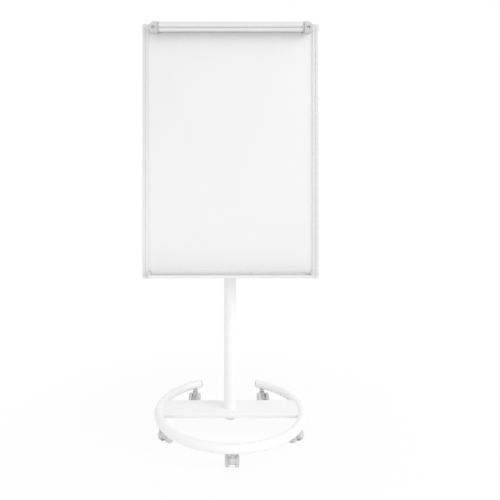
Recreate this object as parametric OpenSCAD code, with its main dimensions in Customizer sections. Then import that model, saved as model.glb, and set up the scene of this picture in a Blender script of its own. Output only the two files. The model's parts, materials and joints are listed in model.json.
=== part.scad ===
// Mobile flipchart easel: framed writing board with pad clamp and pen tray, on a telescopic
// column over an open ring base with five twin-wheel castors.
// X runs to the right, the board faces -Y, +Z is up; the origin is on the floor under the column.

/* [Board] */
// Width of the framed board
board_w = 700; // [620:10:900]
// Height of the framed board
board_h = 1010; // [900:10:1200]
// Height of the board's lower edge above the floor with the column lowered
board_bottom_z = 632; // [600:1:760]
// Distance from the column's axis to the board's front
board_reach = 74; // [70:1:90]
// Thickness of the lacquered steel writing sheet
sheet_t = 1; // [0.6:0.1:2]
// Thickness of the panel's core
core_t = 9; // [7:0.5:10]
// Thickness of the steel sheet on the panel's back
back_t = 1; // [0.6:0.1:2]

/* [Frame rails] */
// Face width of a frame rail
rail_w = 25; // [22:0.5:30]
// Depth of a frame rail from front to back
rail_d = 24; // [22:0.5:30]
// Wall of the rail's hollow box
rail_wall = 2; // [1.5:0.1:2.5]
// Thickness of the rail's front face
rail_face_t = 2.4; // [2:0.1:3]
// Width of the hollow box along the outer edge
rail_box_w = 14; // [12:0.5:16]
// Depth of the writing surface behind the rail's front
panel_recess = 4.5; // [4:0.1:6]
// How far the inner face band lies behind the outer one
band_step = 0.8; // [0.4:0.1:1.2]
// Distance of the face groove from the outer edge
groove_at = 11; // [8:0.5:12]
// Width of the face groove
groove_w = 1.6; // [1:0.1:2]
// Depth of the face groove
groove_d = 1.2; // [0.6:0.1:1.4]
// Height of a plastic corner piece
corner_h = 31; // [28:1:45]
// How far a corner piece stands proud of the rails' front
corner_proud = 0.4; // [0.4:0.1:1.5]
// Radius of a corner piece's outer corner
corner_r = 9; // [4:1:14]
// Length of a corner piece's spigot inside a rail
spigot_l = 22; // [12:1:40]

/* [Pen tray] */
// How far the tray stands out from the frame
tray_depth = 43; // [34:1:60]
// Height of the tray's front lip
lip_h = 11.5; // [9:0.5:16]
// How far the tray's back leg reaches above the bottom rail before it turns in to the panel
leg_over = 7; // [3:0.5:10]
// Wall of the tray
tray_wall = 1.8; // [1.4:0.1:2.5]
// Height of the tray's floor above the frame's lower edge
tray_lift = 7.5; // [5:0.5:12]
// Number of low ribs along the tray's floor
tray_ribs = 4; // [1:1:6]
// Width of a rib on the tray's floor
tray_rib_w = 1.6; // [1:0.1:3]
// Height of a rib on the tray's floor
tray_rib_h = 0.8; // [0.4:0.1:1.5]
// Thickness of a tray end cap
tray_cap_t = 8; // [5:0.5:12]

/* [Pad clamp] */
// Distance from the frame's side rails to the clamp's ends
clamp_inset = 7; // [1:1:40]
// Length of one end bracket
clamp_end_w = 31; // [28:1:50]
// Length of a hinge arm past the end of the jaw
arm_t = 7; // [5:0.5:10]
// Radius of the jaw's hinge barrel
barrel_r = 13; // [12:0.5:13.5]
// Wall of the barrel
barrel_wall = 2.5; // [2:0.1:3]
// Radius of the jaw's lip roll
roll_r = 7.5; // [7:0.5:8]
// Wall of the lip roll
roll_wall = 2; // [1.5:0.1:2.5]
// Distance from the barrel's axis down to the roll's axis
roll_drop = 19; // [18.5:0.5:19.5]
// Distance of the barrel's axis below the top of the frame
barrel_below = 15.5; // [15.5:0.5:17]
// Gap between the barrel and the peg rail, where a pad's top edge fits
pad_gap = 8; // [7.5:0.5:10]
// Height of the jaw's flange above the lip roll's axis
flange_up = 5; // [5:0.5:5.5]
// Thickness of the jaw's flange and hinge web
jaw_wall = 3; // [2:0.1:3.5]
// Height of the rubber grip strip
grip_h = 6; // [5:0.5:6.5]
// Length of the rubber grip strip from front to back
grip_d = 18; // [17:0.5:20]
// Radius of the jaw's hinge eye
eye_r = 4.5; // [4:0.1:4.8]
// Radius of a hinge pin
hinge_pin_r = 2.5; // [2:0.1:2.8]
// Length of a hinge pin
hinge_pin_l = 44; // [40:1:60]
// Wire thickness of a closing spring
wire_d = 1.2; // [0.8:0.1:1.2]
// Turns of a closing spring
spring_turns = 6; // [4:1:8]

/* [Peg rail] */
// Height of the peg rail
peg_rail_h = 10; // [9:0.5:12]
// Depth of the peg rail
peg_rail_d = 4.5; // [4.2:0.1:5]
// Radius of a pad peg
peg_r = 3; // [2.5:0.1:3.2]
// How far a pad peg stands out of its rail
peg_out = 6.5; // [5:0.5:6.5]
// Distance of each pad peg from the middle
peg_x = 235; // [200:5:250]
// Length of a peg's foot along the rail
peg_foot_l = 18; // [12:1:30]

/* [Column] */
// Outer radius of the lower tube
tube_r = 25; // [22:0.5:30]
// Wall of the lower tube
tube_wall = 1.5; // [1.2:0.1:2.5]
// Outer radius of the inner column
inner_r = 20; // [18:0.5:21]
// Wall of the inner column
inner_wall = 1.5; // [1.2:0.1:2.5]
// Length of the inner column
inner_l = 545; // [450:5:600]
// Height of the clamp collar
collar_h = 62; // [52:1:90]
// Wall of the clamp collar round the lower tube
collar_wall = 8; // [7:0.5:12]
// How far the collar reaches above the lower tube
collar_over = 30; // [26:1:40]
// Height of the guide bush
bush_h = 40; // [25:1:70]
// Height of the foot plug
foot_plug_h = 24; // [16:1:40]

/* [Tilt head] */
// Outer radius of the head's sleeve
sleeve_r = 24; // [23:0.5:26]
// Height of the head's sleeve
sleeve_h = 55; // [45:1:80]
// Distance from the tilt axis down to the sleeve's top
sleeve_drop = 24; // [22:0.5:30]
// Width of the head's knuckle
knuckle_w = 30; // [24:1:34]
// Radius of the head's knuckle
knuckle_r = 18; // [14:0.5:19]
// Radius of the bracket's ears
ear_r = 20; // [16:0.5:21]
// Half height of an ear where it meets the bracket plate
ear_root = 45; // [30:1:60]
// Thickness of the bracket's steel
bracket_t = 3; // [2.5:0.5:5]
// Width of the bracket plate
bracket_w = 150; // [120:5:200]
// Depth of the bracket's folded side lips
bracket_lip = 14; // [8:1:18]
// Height of the bracket plate
bracket_h = 290; // [280:5:340]
// Distance of the bracket's bolts from its side edges
bolt_inset = 20; // [18:1:30]
// Radius of the tilt bolt
tilt_bolt_r = 5; // [4:0.5:6]
// Distance between the two cross rails
cross_pitch = 240; // [200:5:240]
// Height of a cross rail
cross_h = 40; // [30:1:50]
// Depth of a cross rail
cross_d = 12; // [8:0.5:12]
// Wall of a cross rail
cross_wall = 1.5; // [1.2:0.1:2]

/* [Hand knobs] */
// Radius of a star knob over its lobes
star_r = 25; // [20:1:28]
// Thickness of a star knob's grip
star_t = 18; // [14:1:24]
// Number of a star knob's lobes
star_lobes = 6; // [5:1:8]
// Radius of a star knob's hub
star_hub_r = 11; // [9:0.5:14]
// Height of a star knob's hub
star_hub_h = 7; // [5:0.5:12]
// Rounding of a star knob's rim
star_round = 4; // [2:0.5:6]
// Radius of the height knob's stud
height_stud_r = 5; // [4:0.5:6]
// Radius of the foot knob
foot_knob_r = 20; // [16:0.5:24]
// Thickness of the foot knob's grip
foot_knob_t = 11; // [8:1:14]
// Height of the foot knob's underside above the floor
foot_knob_z = 43; // [38:1:46]
// Radius of the foot knob's stud
foot_stud_r = 6; // [5:0.5:8]

/* [Base] */
// Radius of the ring to the middle of its tube
ring_r = 293; // [275:1:330]
// Outer radius of the ring's tube
ring_tube_r = 17.5; // [16:0.5:20]
// Wall of the ring's tube
ring_wall = 2; // [1.5:0.1:3]
// Half angle of the ring's opening at the back
gap_half_angle = 27; // [20:1:30]
// Thickness of an end plug's flange
plug_flange_t = 2.5; // [2:0.5:4]
// Length of an end plug inside the ring's tube
plug_l = 14; // [8:1:14]
// Depth of the crossbar from front to back
bar_d = 130; // [90:5:150]
// Height of the crossbar
bar_h = 15; // [13:1:24]
// Thickness of the crossbar's folded sheet
bar_t = 2.5; // [2:0.5:4]
// Height of the crossbar's top below the top of the ring's tube
bar_below = 7; // [6:0.5:11]

/* [Castors] */
// Angle round the ring from the front castor to a side castor
side_castor_angle = 65; // [60:1:75]
// Angle along the ring from its open end to a back castor
end_castor_angle = 5; // [4.5:0.5:12]
// How far the side castors are swivelled from the ring's centre
side_swivel = 31; // [0:1:90]
// How far the back castors are swivelled from the ring's centre
back_swivel = 37; // [0:1:90]
// Height of a castor from the floor to the ring
castor_h = 60; // [56:1:70]
// Radius of a castor wheel
wheel_r = 25; // [20:0.5:25]
// Width of a castor wheel
wheel_w = 13.5; // [11:0.5:16]
// Width of a castor's housing between the wheels
housing_w = 22; // [18:0.5:26]
// Distance from the stem's axis to the axle
trail = 28; // [22:0.5:30]
// Radius of the housing's rounded lower end
housing_hub_r = 13; // [12:0.5:14]
// Height of the middle of the housing's lower end above the floor
housing_hub_z = 19; // [18:0.5:20]
// Radius of the housing's boss, seen from the side
housing_boss_r = 11; // [9:0.5:13]
// Thickness of a wheel's closed outer face over the axle's end
wheel_face_t = 4; // [3:0.5:5]
// Height of the housing's top above the floor
housing_top = 49; // [46:0.5:52]
// Radius of a castor's stem
stem_r = 5.5; // [4.5:0.5:6]
// Depth of a castor's stem in its housing
stem_depth = 18; // [14:1:20]
// Height of a castor's stem above the middle of the ring's tube
stem_over = 12; // [8:1:13]
// Radius of a castor's axle
axle_r = 4; // [3:0.5:5]
// Outer radius of a castor socket
socket_r = 8; // [7:0.5:10]

/* [Fits] */
// Radial clearance of a shaft that turns or slides in its bore
running_fit = 0.05; // [0.02:0.01:0.1]
// Gap between faces that move past each other
face_gap = 0.3; // [0.3:0.05:0.5]
// Gap between a wheel and its housing
wheel_gap = 0.6; // [0.4:0.1:1]

/* [Hidden] */
$fn = 64;
cut = 1;

// Board planes, from front to back
front_y = -board_reach;
sheet_y = front_y + panel_recess;
core_y = sheet_y + sheet_t;
back_y = core_y + core_t;
panel_rear_y = back_y + back_t;
board_top_z = board_bottom_z + board_h;
panel_t = sheet_t + core_t + back_t;
panel_w = board_w - 2 * rail_box_w;
panel_h = board_h - 2 * rail_box_w;
rear_lip_w = 8;
rear_lip_t = 2;

// Tilt axis, head and column, from the top down
pivot_z = board_bottom_z + board_h / 2;
sleeve_top_z = pivot_z - sleeve_drop;
sleeve_bottom_z = sleeve_top_z - sleeve_h;
sleeve_floor_t = 5;
inner_top_z = sleeve_top_z - sleeve_floor_t;
inner_bottom_z = inner_top_z - inner_l;
collar_top_z = sleeve_bottom_z - face_gap;
collar_bottom_z = collar_top_z - collar_h;
tube_top_z = collar_top_z - collar_over;
collar_r = tube_r + collar_wall;
collar_edge = 4;
boss_r = 12;
boss_reach = collar_r + 12;
height_knob_z = collar_top_z - collar_over / 2;
cross_y = panel_rear_y + cross_d;
ear_in_x = knuckle_w / 2 + face_gap;
ear_out_x = ear_in_x + bracket_t;
ear_clear_y = sleeve_r - 2;
ear_clear_z = sleeve_drop - 2;
bracket_bolt_x = bracket_w / 2 - bolt_inset;
bracket_bolt_r = 3;
bolt_head_h = 6;
bolt_head_r = 9.8;
tilt_bolt_grip = star_hub_h + star_t / 2;

// Base heights
ring_z = castor_h + ring_tube_r;
bar_top_z = ring_z + ring_tube_r - bar_below;
bar_bottom_z = bar_top_z - bar_h;
ring_end_angle = 90 - gap_half_angle;
back_castor_angle = 180 - gap_half_angle - end_castor_angle;
castor_angles = [0, side_castor_angle, back_castor_angle, -back_castor_angle, -side_castor_angle];
castor_swivels = [0, -side_swivel, back_swivel, -back_swivel, side_swivel];
stem_bottom_z = housing_top - stem_depth;
stem_top_z = ring_z + stem_over;
stem_collar_h = 2;
socket_flange_r = 11;
socket_flange_z = castor_h - 3.5;

// Pad clamp
barrel_y = front_y - peg_rail_d - pad_gap - barrel_r;
barrel_z = board_top_z - barrel_below;
roll_y = barrel_y - 3;
roll_z = barrel_z - roll_drop;
flange_z = roll_z + flange_up;
clamp_w = board_w - 2 * rail_w - 2 * clamp_inset;
arm_out_x = clamp_w / 2 - clamp_end_w - 2 * face_gap;
jaw_half = arm_out_x - arm_t;
hinge_y = front_y - eye_r - 2.5;
hinge_z = barrel_z + 6;
grip_y = sheet_y - face_gap - grip_d;
flange_overlap = 2.5;
rail_edge_z = board_top_z - rail_w;
peg_rail_top_z = hinge_z - eye_r - 0.5;
peg_rail_z = peg_rail_top_z - peg_rail_h / 2;
peg_rail_floor_y = front_y - 1;
peg_rail_lip = 1.2;
peg_rail_wall = 1.2;
peg_neck_r = peg_r - face_gap;
spring_r = hinge_pin_r + 1.3;
spring_l = spring_turns * wire_d * 1.15;
clamp_end_x = clamp_w / 2 - clamp_end_w;
hinge_pin_out_x = clamp_w / 2 - clamp_end_w / 4;
clamp_screw_x = clamp_w / 2 - clamp_end_w / 2;
clamp_screw_z = rail_edge_z - 3.5;
clamp_screw_seat_y = roll_y - 3;
clamp_screw_end_y = core_y + core_t - 2;
clamp_screw_r = 2.2;
clamp_screw_head_r = 4;

// Pen tray
tray_z = board_bottom_z + tray_lift;
tray_l = board_w - 2 * rail_w - 2;
tray_screw_z = board_bottom_z + rail_w - 6;
tray_screw_r = 1.8;

// ---- shared shapes ----

// A flat link with two round ends, its sides all but tangent to both
module link_2d(p1, r1, p2, r2) {
    seam = 0.05;
    a = atan2(p2[1] - p1[1], p2[0] - p1[0]);
    s = acos((r1 - r2) / norm(p2 - p1));
    up = [cos(a + s), sin(a + s)];
    down = [cos(a - s), sin(a - s)];
    translate(p1) circle(r1);
    translate(p2) circle(r2);
    polygon([
        p1 + (r1 - seam) * down,
        p2 + (r2 - seam) * down,
        p2 + (r2 - seam) * up,
        p1 + (r1 - seam) * up]);
}

// A side view, drawn as (y, z), stretched along X from x0 to x1
module along_x(x0, x1) {
    translate([x0, 0, 0]) rotate([90, 0, 90]) linear_extrude(x1 - x0) children();
}

module tube(r, wall, h) {
    difference() {
        cylinder(r = r, h = h);
        translate([0, 0, -cut]) cylinder(r = r - wall, h = h + 2 * cut);
    }
}

// The same shape on both sides of the middle plane
module both_sides() {
    children();
    mirror([1, 0, 0]) children();
}

// Grip of a star knob: round lobes round a core, with hollows between them
module star_2d(r, lobes) {
    lobe_r = r * 0.26;
    difference() {
        circle(r - lobe_r * 0.6);
        for (i = [0 : lobes - 1])
            rotate((i + 0.5) * 360 / lobes) translate([r, 0]) circle(r * 0.3);
    }
    for (i = [0 : lobes - 1]) rotate(i * 360 / lobes) translate([r - lobe_r, 0]) circle(lobe_r);
}

// Turned blank with a rounded rim, a flat underside and a slightly dished top
module knob_blank(r, h, low_round, high_round) {
    dish = 1.2;
    rotate_extrude() difference() {
        union() {
            square([r - low_round, h]);
            translate([0, low_round]) square([r, h - low_round - high_round]);
            square([r - high_round, h]);
            translate([r - low_round, low_round]) circle(low_round);
            translate([r - high_round, h - high_round]) circle(high_round);
        }
        translate([-2 * r, -r]) square([2 * r, 3 * r + h]);
        translate([0, h]) polygon([[0, -dish], [r / 2, 0], [r / 2, cut], [0, cut]]);
    }
}

// Star knob on its hub, rising along +Z from the hub's face
module star_knob() {
    cylinder(r = star_hub_r, h = star_hub_h + cut);
    translate([0, 0, star_hub_h]) intersection() {
        linear_extrude(star_t) star_2d(star_r, star_lobes);
        knob_blank(star_r, star_t, star_round / 2, star_round);
    }
}

// ---- base ----

module ring_solid(r) {
    translate([0, 0, ring_z])
        rotate([0, 0, 90 + gap_half_angle])
            rotate_extrude(angle = 360 - 2 * gap_half_angle, $fn = 180)
                translate([ring_r, 0]) circle(r);
}

// The place of a castor's stem on the ring, with +X towards the ring's centre
module at_stem(i) {
    rotate([0, 0, castor_angles[i] - 90]) translate([ring_r, 0, 0]) rotate([0, 0, 180]) children();
}

// The same place, turned with the castor's swivel
module at_castor(i) {
    at_stem(i) rotate([0, 0, castor_swivels[i]]) children();
}

module base_ring() {
    color("whitesmoke") difference() {
        ring_solid(ring_tube_r);
        translate([0, 0, ring_z])
            rotate([0, 0, 90 + gap_half_angle - 1])
                rotate_extrude(angle = 362 - 2 * gap_half_angle, $fn = 180)
                    translate([ring_r, 0]) circle(ring_tube_r - ring_wall);
        for (i = [0 : len(castor_angles) - 1])
            at_stem(i) translate([0, 0, castor_h - cut]) cylinder(r = socket_r, h = ring_tube_r);
    }
}

// One plug at the ring's right-hand end; its flange closes the tube
module ring_end_plug() {
    flange_r = ring_tube_r - 0.2;
    spigot_r = ring_tube_r - ring_wall - 0.4;
    rotate([0, 0, ring_end_angle]) translate([ring_r, 0, ring_z]) rotate([-90, 0, 0]) {
        cylinder(r = flange_r, h = plug_flange_t / 2);
        translate([0, 0, plug_flange_t / 2])
            cylinder(r1 = flange_r, r2 = flange_r - plug_flange_t / 2, h = plug_flange_t / 2);
        translate([0, 0, -plug_l]) cylinder(r = spigot_r, h = plug_l + cut);
    }
}

module ring_end_plugs() {
    color("darkgray") both_sides() ring_end_plug();
}

// Section through folded sheet: a flat web with a flange down each side and round bends
module folded_2d(width, height, bend_r) {
    translate([-width / 2, 0]) square([width, height - bend_r]);
    translate([-width / 2 + bend_r, 0]) square([width - 2 * bend_r, height]);
    for (side = [-1, 1]) translate([side * (width / 2 - bend_r), height - bend_r]) circle(bend_r);
}

module crossbar() {
    half = ring_r - ring_tube_r + 8;
    bend_r = bar_t + 1.5;
    color("whitesmoke") difference() {
        translate([0, 0, bar_bottom_z]) along_x(-half, half) difference() {
            folded_2d(bar_d, bar_h, bend_r);
            translate([0, -cut]) folded_2d(bar_d - 2 * bar_t, bar_h - bar_t + cut, bend_r - bar_t);
        }
        translate([0, 0, ring_z]) rotate_extrude($fn = 180) translate([ring_r, 0]) circle(ring_tube_r);
        translate([0, 0, bar_bottom_z]) cylinder(r = foot_stud_r + 2 * face_gap, h = bar_h + cut);
    }
}

module castor_socket() {
    difference() {
        union() {
            translate([0, 0, socket_flange_z]) cylinder(r = socket_r, h = stem_top_z - socket_flange_z);
            translate([0, 0, socket_flange_z]) cylinder(r = socket_flange_r, h = 2 * ring_tube_r / 3);
        }
        translate([0, 0, socket_flange_z - cut]) cylinder(r = stem_r, h = ring_tube_r * 3);
        difference() {
            translate([-ring_r, 0, ring_z]) rotate([0, 0, -10])
                rotate_extrude(angle = 20, $fn = 180) translate([ring_r, 0]) circle(ring_tube_r);
            cylinder(r = socket_r, h = ring_z * 2);
        }
    }
}

module castor_sockets() {
    color("darkgray") for (i = [0 : len(castor_angles) - 1])
        at_stem(i) rotate([0, 0, 180]) castor_socket();
}

module castor_stem() {
    tip = 1.5;
    translate([0, 0, stem_bottom_z]) cylinder(r = stem_r, h = stem_top_z - stem_bottom_z - tip);
    translate([0, 0, stem_top_z - tip]) cylinder(r1 = stem_r, r2 = stem_r - tip, h = tip);
    translate([0, 0, housing_top + face_gap]) cylinder(r = stem_r + 2, h = stem_collar_h);
}

module castor_stems() {
    color("silver") for (i = [0 : len(castor_angles) - 1]) at_stem(i) castor_stem();
}

// ---- castors, drawn with the stem at the origin and the axle towards +X ----

module castor_housing() {
    boss_z = housing_top - housing_boss_r;
    difference() {
        translate([0, housing_w / 2, 0]) rotate([90, 0, 0]) linear_extrude(housing_w)
            link_2d([0, boss_z], housing_boss_r, [trail, housing_hub_z], housing_hub_r);
        translate([0, 0, stem_bottom_z - face_gap]) cylinder(r = stem_r + running_fit, h = castor_h);
        translate([trail, housing_w, wheel_r]) rotate([90, 0, 0]) cylinder(r = axle_r, h = 2 * housing_w);
    }
}

module castor_axle() {
    half = housing_w / 2 + wheel_gap + wheel_w - wheel_face_t;
    translate([trail, half, wheel_r]) rotate([90, 0, 0]) cylinder(r = axle_r, h = 2 * half);
}

// Wheel section as (radius, width from the inner face): tread, closed outer face, hub
module wheel_2d() {
    edge_r = 4;
    hub_r = 2 * axle_r;
    rim_t = 5;
    dish_d = 1.2;
    difference() {
        union() {
            square([wheel_r - edge_r, wheel_w]);
            square([wheel_r, wheel_w - edge_r]);
            translate([wheel_r - edge_r, wheel_w - edge_r]) circle(edge_r);
        }
        translate([hub_r, -cut]) square([wheel_r - rim_t - hub_r, wheel_w - wheel_face_t - 1 + cut]);
        translate([-cut, -cut])
            square([axle_r + running_fit + cut, wheel_w - wheel_face_t + face_gap + cut]);
        translate([wheel_r - rim_t - 4, wheel_w - dish_d]) square([4, dish_d + cut]);
        translate([-cut, wheel_w - dish_d]) square([hub_r + cut, dish_d + cut]);
        translate([-2 * wheel_r, -cut]) square([2 * wheel_r, 2 * wheel_r]);
    }
}

module castor_wheel(side) {
    translate([trail, side * (housing_w / 2 + wheel_gap), wheel_r])
        rotate([-90 * side, 0, 0]) rotate_extrude() wheel_2d();
}

module front_castor_housing() { color("gray") at_castor(0) castor_housing(); }
module front_castor_axle() { color("silver") at_castor(0) castor_axle(); }
module front_castor_wheel_left() { color("gray") at_castor(0) castor_wheel(1); }
module front_castor_wheel_right() { color("gray") at_castor(0) castor_wheel(-1); }
module front_right_castor_housing() { color("gray") at_castor(1) castor_housing(); }
module front_right_castor_axle() { color("silver") at_castor(1) castor_axle(); }
module front_right_castor_wheel_left() { color("gray") at_castor(1) castor_wheel(1); }
module front_right_castor_wheel_right() { color("gray") at_castor(1) castor_wheel(-1); }
module back_right_castor_housing() { color("gray") at_castor(2) castor_housing(); }
module back_right_castor_axle() { color("silver") at_castor(2) castor_axle(); }
module back_right_castor_wheel_left() { color("gray") at_castor(2) castor_wheel(1); }
module back_right_castor_wheel_right() { color("gray") at_castor(2) castor_wheel(-1); }
module back_left_castor_housing() { color("gray") at_castor(3) castor_housing(); }
module back_left_castor_axle() { color("silver") at_castor(3) castor_axle(); }
module back_left_castor_wheel_left() { color("gray") at_castor(3) castor_wheel(1); }
module back_left_castor_wheel_right() { color("gray") at_castor(3) castor_wheel(-1); }
module front_left_castor_housing() { color("gray") at_castor(4) castor_housing(); }
module front_left_castor_axle() { color("silver") at_castor(4) castor_axle(); }
module front_left_castor_wheel_left() { color("gray") at_castor(4) castor_wheel(1); }
module front_left_castor_wheel_right() { color("gray") at_castor(4) castor_wheel(-1); }

// ---- column ----

module outer_column() {
    color("whitesmoke") translate([0, 0, bar_top_z]) tube(tube_r, tube_wall, tube_top_z - bar_top_z);
}

module foot_plug() {
    color("dimgray") translate([0, 0, bar_top_z])
        tube(tube_r - tube_wall, tube_r - tube_wall - foot_stud_r - running_fit, foot_plug_h);
}

module foot_knob() {
    neck_top = bar_top_z - bar_t - face_gap;
    notch_count = 12;
    color("lightgray") {
        translate([0, 0, foot_knob_z]) linear_extrude(foot_knob_t) difference() {
            circle(foot_knob_r);
            for (i = [0 : notch_count - 1])
                rotate(i * 360 / notch_count) translate([foot_knob_r + 1, 0]) circle(1.8);
        }
        translate([0, 0, foot_knob_z + foot_knob_t]) cylinder(r1 = 15, r2 = 11, h = 5);
        translate([0, 0, foot_knob_z]) cylinder(r = 11, h = neck_top - foot_knob_z);
        translate([0, 0, foot_knob_z]) cylinder(r = foot_stud_r, h = bar_top_z + foot_plug_h - foot_knob_z);
    }
}

module clamp_collar() {
    color("dimgray") difference() {
        union() {
            rotate_extrude() polygon([
                [inner_r / 2, collar_bottom_z],
                [collar_r - collar_edge, collar_bottom_z],
                [collar_r, collar_bottom_z + collar_edge],
                [collar_r, collar_top_z - collar_edge],
                [collar_r - collar_edge, collar_top_z],
                [inner_r / 2, collar_top_z]]);
            translate([0, 0, height_knob_z]) rotate([-90, 0, 0]) cylinder(r = boss_r, h = boss_reach);
        }
        translate([0, 0, collar_bottom_z - cut])
            cylinder(r = tube_r, h = tube_top_z - collar_bottom_z + cut);
        translate([0, 0, collar_bottom_z]) cylinder(r = inner_r + running_fit, h = collar_h + cut);
        translate([0, 0, height_knob_z]) rotate([-90, 0, 0])
            cylinder(r = height_stud_r + running_fit, h = boss_reach + cut);
    }
}

module height_knob() {
    stud_start = inner_r + face_gap;
    color("dimgray") translate([0, 0, height_knob_z]) rotate([-90, 0, 0]) {
        translate([0, 0, boss_reach + face_gap]) star_knob();
        translate([0, 0, stud_start]) cylinder(r = height_stud_r, h = boss_reach + 5 - stud_start);
    }
}

module inner_column() {
    color("whitesmoke") translate([0, 0, inner_bottom_z]) tube(inner_r, inner_wall, inner_l);
}

module guide_bush() {
    bush_r = tube_r - tube_wall - running_fit;
    color("dimgray") translate([0, 0, inner_bottom_z]) tube(bush_r, bush_r - inner_r, bush_h);
}

// ---- tilt head and board bracket ----

module tilt_head() {
    color("dimgray") difference() {
        union() {
            translate([0, 0, sleeve_bottom_z]) cylinder(r = sleeve_r, h = sleeve_h);
            intersection() {
                translate([0, 0, sleeve_top_z - cut]) cylinder(r = sleeve_r, h = sleeve_drop + cut);
                translate([-knuckle_w / 2, -knuckle_r, sleeve_top_z - cut])
                    cube([knuckle_w, 2 * knuckle_r, sleeve_drop + cut]);
            }
            translate([0, 0, pivot_z]) along_x(-knuckle_w / 2, knuckle_w / 2) circle(knuckle_r);
        }
        translate([0, 0, sleeve_bottom_z - cut])
            cylinder(r = inner_r, h = inner_top_z - sleeve_bottom_z + cut);
        translate([0, 0, pivot_z]) along_x(-knuckle_w, knuckle_w) circle(tilt_bolt_r + running_fit);
    }
}

module tilt_bolt() {
    color("silver") translate([0, 0, pivot_z]) {
        along_x(-ear_out_x - cut, ear_out_x + tilt_bolt_grip) circle(tilt_bolt_r);
        along_x(-ear_out_x - bolt_head_h, -ear_out_x) circle(bolt_head_r, $fn = 6);
    }
}

module tilt_knob() {
    color("dimgray") translate([ear_out_x + face_gap, 0, pivot_z]) rotate([0, 90, 0]) difference() {
        star_knob();
        translate([0, 0, -cut])
            cylinder(r = tilt_bolt_r + running_fit, h = tilt_bolt_grip + face_gap + cut);
    }
}

// A flat plate with round corners
module rounded_2d(width, height, corner) {
    square([width - 2 * corner, height], center = true);
    square([width, height - 2 * corner], center = true);
    for (x = [-1, 1], y = [-1, 1])
        translate([x * (width / 2 - corner), y * (height / 2 - corner)]) circle(corner);
}

module board_bracket() {
    lip_inset = 45;
    lip_half = bracket_h / 2 - lip_inset;
    color("gray") difference() {
        union() {
            translate([0, cross_y + bracket_t, pivot_z]) rotate([90, 0, 0])
                linear_extrude(bracket_t) rounded_2d(bracket_w, bracket_h, 12);
            both_sides() translate([bracket_w / 2 - bracket_t, cross_y, pivot_z - lip_half])
                cube([bracket_t, bracket_lip, 2 * lip_half]);
            both_sides() translate([0, 0, pivot_z]) along_x(ear_in_x, ear_out_x) {
                circle(ear_r);
                polygon([
                    [cross_y, -ear_root],
                    [-ear_clear_y, -ear_clear_z],
                    [0, -ear_r],
                    [0, ear_r],
                    [cross_y, ear_root]]);
            }
        }
        translate([0, 0, pivot_z]) along_x(-bracket_w, bracket_w) circle(tilt_bolt_r + running_fit);
        for (x = [-bracket_bolt_x, bracket_bolt_x], z = [-cross_pitch / 2, cross_pitch / 2])
            translate([x, cross_y - cut, pivot_z + z]) rotate([-90, 0, 0])
                cylinder(r = bracket_bolt_r, h = bracket_t + 2 * cut);
    }
}

module bracket_bolts() {
    head_h = 3.5;
    color("silver")
        for (x = [-bracket_bolt_x, bracket_bolt_x], z = [-cross_pitch / 2, cross_pitch / 2])
            translate([x, cross_y, pivot_z + z]) rotate([-90, 0, 0]) {
                translate([0, 0, -cross_wall - 3])
                    cylinder(r = bracket_bolt_r, h = cross_wall + 3 + bracket_t);
                translate([0, 0, bracket_t]) cylinder(r1 = 6, r2 = 4.5, h = head_h);
            }
}

// Two channels across the panel's back, each held by a tab on either side rail's rear lip
module cross_rail() {
    half = panel_w / 2 - rear_lip_w;
    inside_h = cross_h - 2 * cross_wall;
    difference() {
        translate([-half, panel_rear_y, -cross_h / 2]) cube([2 * half, cross_d, cross_h]);
        translate([-half - cut, panel_rear_y - cut, -inside_h / 2])
            cube([2 * half + 2 * cut, cross_d - cross_wall + cut, inside_h]);
        for (x = [-bracket_bolt_x, bracket_bolt_x])
            translate([x, panel_rear_y, 0]) rotate([-90, 0, 0])
                cylinder(r = bracket_bolt_r, h = cross_d + cut);
    }
    both_sides() translate([half - cross_wall, panel_rear_y + rear_lip_t, -cross_h / 2])
        cube([cross_wall + rear_lip_w, cross_wall, cross_h]);
}

module cross_rails() {
    color("silver") for (z = [-cross_pitch / 2, cross_pitch / 2])
        translate([0, 0, pivot_z + z]) cross_rail();
}

// ---- panel and frame ----

module panel_layer(y, t) {
    translate([-panel_w / 2, y, board_bottom_z + rail_box_w]) cube([panel_w, t, panel_h]);
}

module writing_sheet() {
    color("white") difference() {
        panel_layer(sheet_y, sheet_t);
        both_sides() clamp_screw_hole();
    }
}

module panel_core() {
    color("tan") difference() {
        panel_layer(core_y, core_t);
        both_sides() clamp_screw_hole();
    }
}

module back_sheet() { color("lightgray") panel_layer(back_y, back_t); }

// Rail section as (distance from the outer edge, distance from the front)
module rail_2d() {
    edge_r = 2.5;
    panel_rear = panel_recess + panel_t;
    difference() {
        union() {
            square([rail_box_w, rail_d]);
            translate([0, band_step]) square([rail_w, rail_face_t - band_step]);
            square([groove_at + groove_w, rail_face_t]);
            translate([rail_w - rail_wall, band_step]) square([rail_wall, panel_recess - band_step]);
            translate([rail_box_w, panel_rear]) square([rear_lip_w, rear_lip_t]);
        }
        difference() {
            translate([-cut, -cut]) square(edge_r + cut);
            translate([edge_r, edge_r]) circle(edge_r);
        }
        translate([rail_wall, rail_face_t])
            square([rail_box_w - 2 * rail_wall, rail_d - rail_wall - rail_face_t]);
        polygon([
            [groove_at, -cut],
            [groove_at, 0],
            [groove_at + groove_w / 2, groove_d],
            [groove_at + groove_w, band_step],
            [groove_at + groove_w, -cut]]);
    }
}

module side_rail() {
    translate([-board_w / 2, front_y, board_bottom_z + corner_h])
        linear_extrude(board_h - 2 * corner_h) rail_2d();
}

module lower_rail() {
    length = board_w - 2 * rail_w;
    translate([length / 2, front_y, board_bottom_z]) rotate([0, -90, 0]) linear_extrude(length) rail_2d();
}

// The lower shape turned over to the board's top edge
module at_top() {
    translate([0, 0, board_bottom_z + board_top_z]) mirror([0, 0, 1]) children();
}

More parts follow.
